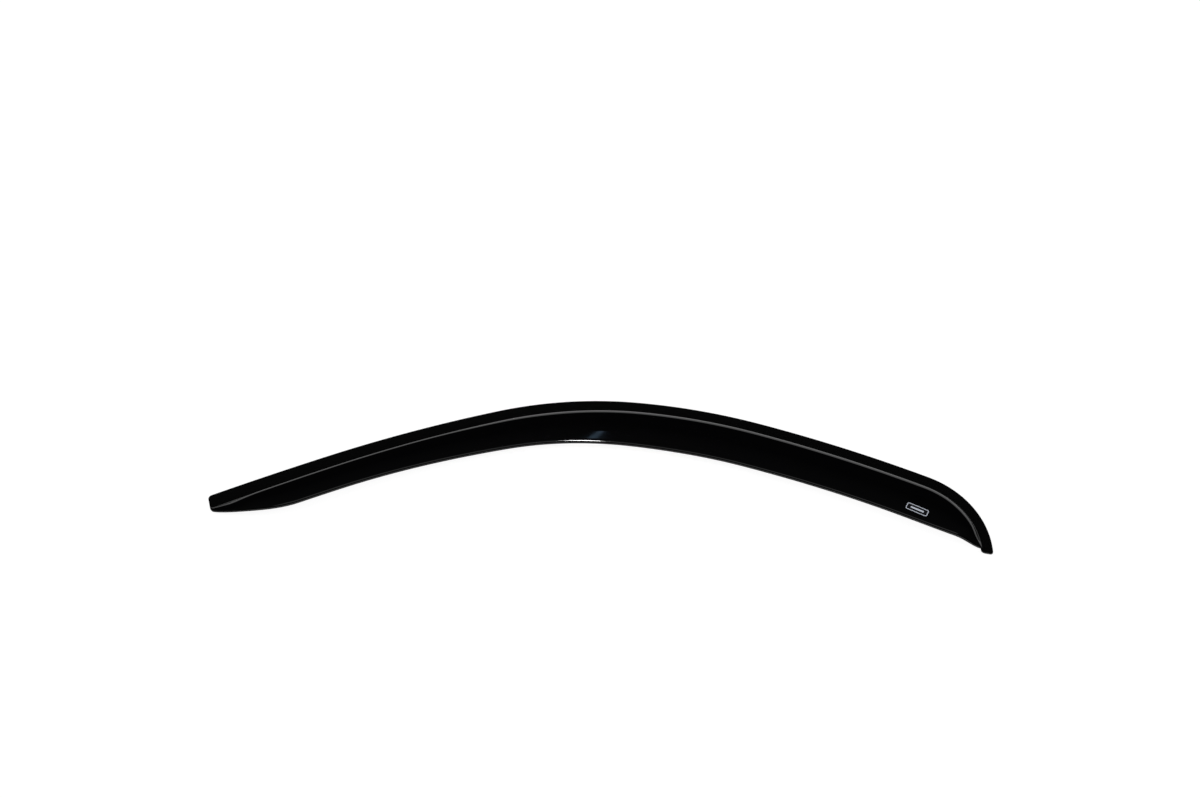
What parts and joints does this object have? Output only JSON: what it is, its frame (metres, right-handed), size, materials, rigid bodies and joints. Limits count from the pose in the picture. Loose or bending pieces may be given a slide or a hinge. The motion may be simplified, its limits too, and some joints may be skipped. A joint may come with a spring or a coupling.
{
  "type": "window rain deflector",
  "caption": "Arched stick-on rain deflector for a car's front side window: flat taped flange, step and crowned dark acrylic blade with a rolled lower lip.",
  "frame": {"origin": "centre of the bounding box's bottom face, on the face of the tape's liner, which goes against the door frame", "axes": "+X along the window to the rear of the car, +Y up the window towards the flange's outer edge, +Z out from the door through the blade's outer face"},
  "size_m": [0.9444, 0.1984, 0.0149],
  "materials": {
    "smoke_acrylic": "near-black dark smoke acrylic, glossy blade, fine matte grain on the flange",
    "foam": "dark grey closed-cell acrylic foam, matte",
    "liner": "red release film, satin",
    "foil": "pale silver foil, satin"
  },
  "bodies": {
    "root": {"visor": "smoke_acrylic", "foam_tape": "foam", "release_liner": "liner", "label": "foil"}
  },
  "joints": []
}
